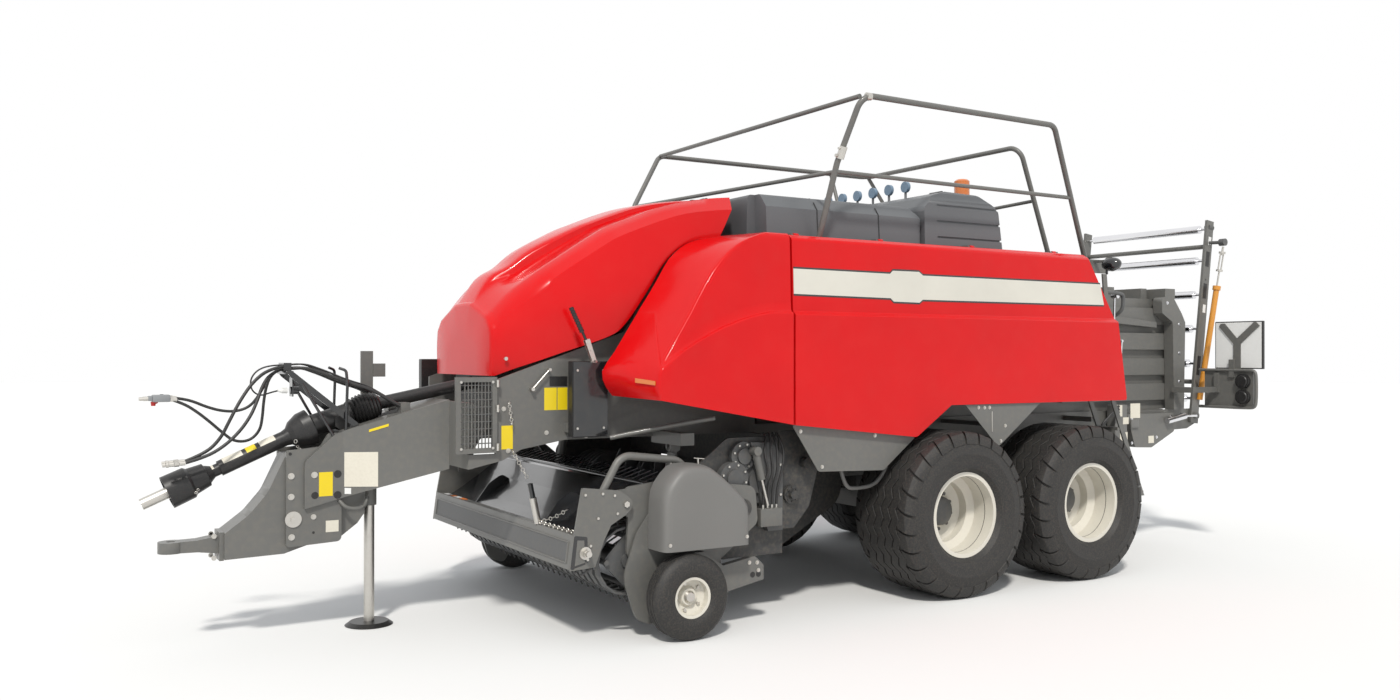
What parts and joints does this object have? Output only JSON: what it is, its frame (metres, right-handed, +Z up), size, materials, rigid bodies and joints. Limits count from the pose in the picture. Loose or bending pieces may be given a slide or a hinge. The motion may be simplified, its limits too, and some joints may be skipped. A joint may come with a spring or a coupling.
{
  "type": "large square baler",
  "caption": "Towed large square baler on tandem wheels, with a lifting tined pickup, opening side doors and hood, and a folding bale chute.",
  "frame": {"origin": "on the ground under the middle of its overall length, on its centre plane", "axes": "+X is the way it is towed, +Y its left side, +Z up"},
  "size_m": [9.1195, 2.9788, 3.521],
  "materials": {
    "red": "gloss red paint",
    "grey": "satin warm grey paint",
    "black": "gloss black paint",
    "cream": "cream paint",
    "tyre": "dark rubber",
    "plastic": "black moulded plastic",
    "tank_grey": "grey moulded plastic",
    "chrome": "polished",
    "steel": "plated",
    "rubber": "hose rubber"
  },
  "bodies": {
    "chassis": {"axles": "grey", "channel_roof": "grey", "channel_sides": "grey", "couplers": "steel", "deck": "grey", "drawbar": "grey", "drive_shaft": "black", "feed_duct": "grey", "feeder_housing": "grey", "front_frame": "grey", "front_modules": "red", "hand_rails": "grey", "held_hoses": "rubber", "hitch_eye": "grey", "hitch_head": "grey", "hose_high_1": "rubber", "hose_high_2": "rubber", "hose_holder": "black", "hose_low_1": "rubber", "hose_low_2": "rubber", "ladder": "grey", "main_frame": "grey", "main_gearbox": "grey", "plug_cable": "rubber", "plunger": "grey", "rear_boards": "plastic", "rear_frame": "grey", "side_plates": "grey", "tank": "tank_grey", "toolboxes": "plastic", "top_cover": "tank_grey", "twine_boxes": "grey", "walking_beams": "grey"},
    "wheel_front_left": {"tyre_front_left": "tyre", "rim_front_left": "cream"},
    "wheel_front_right": {"tyre_front_right": "tyre", "rim_front_right": "cream"},
    "wheel_rear_left": {"tyre_rear_left": "tyre", "rim_rear_left": "cream"},
    "wheel_rear_right": {"tyre_rear_right": "tyre", "rim_rear_right": "cream"},
    "pickup": {"pickup_frame": "grey", "stripper_bands": "grey", "pickup_shields": "plastic"},
    "gauge_wheel_left": {"gauge_wheel_left": "tyre"},
    "gauge_wheel_right": {"gauge_wheel_right": "tyre"},
    "reel": {"pickup_reel": "steel"},
    "wind_guard": {"wind_guard": "black"},
    "feed_rotor": {"feed_rotor": "grey"},
    "lift_barrels": {"lift_barrels": "grey"},
    "lift_rods": {"lift_rods": "chrome"},
    "door_left": {"door_left": "red"},
    "door_right": {"door_right": "red"},
    "hood": {"hood": "red"},
    "chute": {"chute_frame": "grey", "chute_rollers": "chrome"},
    "jack_leg": {"jack_leg": "grey"},
    "pto_outer": {"guard_outer": "plastic"},
    "pto_inner": {"guard_inner": "plastic"},
    "pto_yoke": {"shaft_yoke": "steel"}
  },
  "joints": [
    {"name": "wheel_front_left_turn", "type": "hinge", "parent": "chassis", "child": "wheel_front_left", "pos_m": [-0.6, 1.186, 0.596], "axis": [0, 1, 0], "continuous": true},
    {"name": "wheel_front_right_turn", "type": "hinge", "parent": "chassis", "child": "wheel_front_right", "pos_m": [-0.6, -1.186, 0.596], "axis": [0, 1, 0], "continuous": true},
    {"name": "wheel_rear_left_turn", "type": "hinge", "parent": "chassis", "child": "wheel_rear_left", "pos_m": [-1.93, 1.186, 0.596], "axis": [0, 1, 0], "continuous": true},
    {"name": "wheel_rear_right_turn", "type": "hinge", "parent": "chassis", "child": "wheel_rear_right", "pos_m": [-1.93, -1.186, 0.596], "axis": [0, 1, 0], "continuous": true},
    {"name": "pickup_lift", "type": "hinge", "parent": "chassis", "child": "pickup", "pos_m": [1.15, 0, 0.74], "axis": [0, -1, 0], "range_deg": [0, 15]},
    {"name": "gauge_wheel_left_turn", "type": "hinge", "parent": "pickup", "child": "gauge_wheel_left", "pos_m": [1.69, 1.4, 0.262], "axis": [0, 1, 0], "continuous": true},
    {"name": "gauge_wheel_right_turn", "type": "hinge", "parent": "pickup", "child": "gauge_wheel_right", "pos_m": [1.69, -1.4, 0.262], "axis": [0, 1, 0], "continuous": true},
    {"name": "reel_turn", "type": "hinge", "parent": "pickup", "child": "reel", "pos_m": [1.98, 0, 0.47], "axis": [0, 1, 0], "continuous": true},
    {"name": "wind_guard_lift", "type": "hinge", "parent": "pickup", "child": "wind_guard", "pos_m": [2.04, 0, 0.832], "axis": [0, -1, 0], "range_deg": [0, 12]},
    {"name": "feed_rotor_turn", "type": "hinge", "parent": "chassis", "child": "feed_rotor", "pos_m": [1.15, 0, 0.74], "axis": [0, 1, 0], "continuous": true},
    {"name": "lift_barrel_swing", "type": "hinge", "parent": "chassis", "child": "lift_barrels", "pos_m": [1.48, 0, 1.11], "axis": [0, -1, 0], "range_deg": [-0.5, 5.32]},
    {"name": "lift_rod_slide", "type": "slide", "parent": "lift_barrels", "child": "lift_rods", "axis": [0.178, 0, -0.984], "range_m": [-0.1076, 0.002]},
    {"name": "door_left_open", "type": "hinge", "parent": "chassis", "child": "door_left", "pos_m": [-0.6, 1.092, 2.556], "axis": [1, 0, 0], "range_deg": [0, 80]},
    {"name": "door_right_open", "type": "hinge", "parent": "chassis", "child": "door_right", "pos_m": [-0.6, -1.092, 2.556], "axis": [-1, 0, 0], "range_deg": [0, 80]},
    {"name": "hood_open", "type": "hinge", "parent": "chassis", "child": "hood", "pos_m": [0.9, 0, 2.872], "axis": [0, -1, 0], "range_deg": [0, 45]},
    {"name": "chute_fold", "type": "hinge", "parent": "chassis", "child": "chute", "pos_m": [-4.24, 0, 1.175], "axis": [0, -1, 0], "range_deg": [0, 92]},
    {"name": "jack_slide", "type": "slide", "parent": "chassis", "child": "jack_leg", "axis": [0, 0, 1], "range_m": [0, 0.35]},
    {"name": "shaft_pitch", "type": "hinge", "parent": "chassis", "child": "pto_outer", "pos_m": [3.64, 0, 1.277], "axis": [0, -1, 0], "range_deg": [0, 25]},
    {"name": "shaft_telescope", "type": "slide", "parent": "pto_outer", "child": "pto_inner", "axis": [0.9135, 0, -0.4067], "range_m": [0, 0.2]},
    {"name": "shaft_spin", "type": "hinge", "parent": "pto_inner", "child": "pto_yoke", "pos_m": [3.64, 0, 1.277], "axis": [0.9135, 0, -0.4067], "continuous": true}
  ],
  "couplings": [
    {"joint": "lift_barrel_swing", "follows": "pickup_lift", "ratio": 0.32153},
    {"joint": "lift_rod_slide", "follows": "pickup_lift", "m_per_rad": -0.40352}
  ]
}
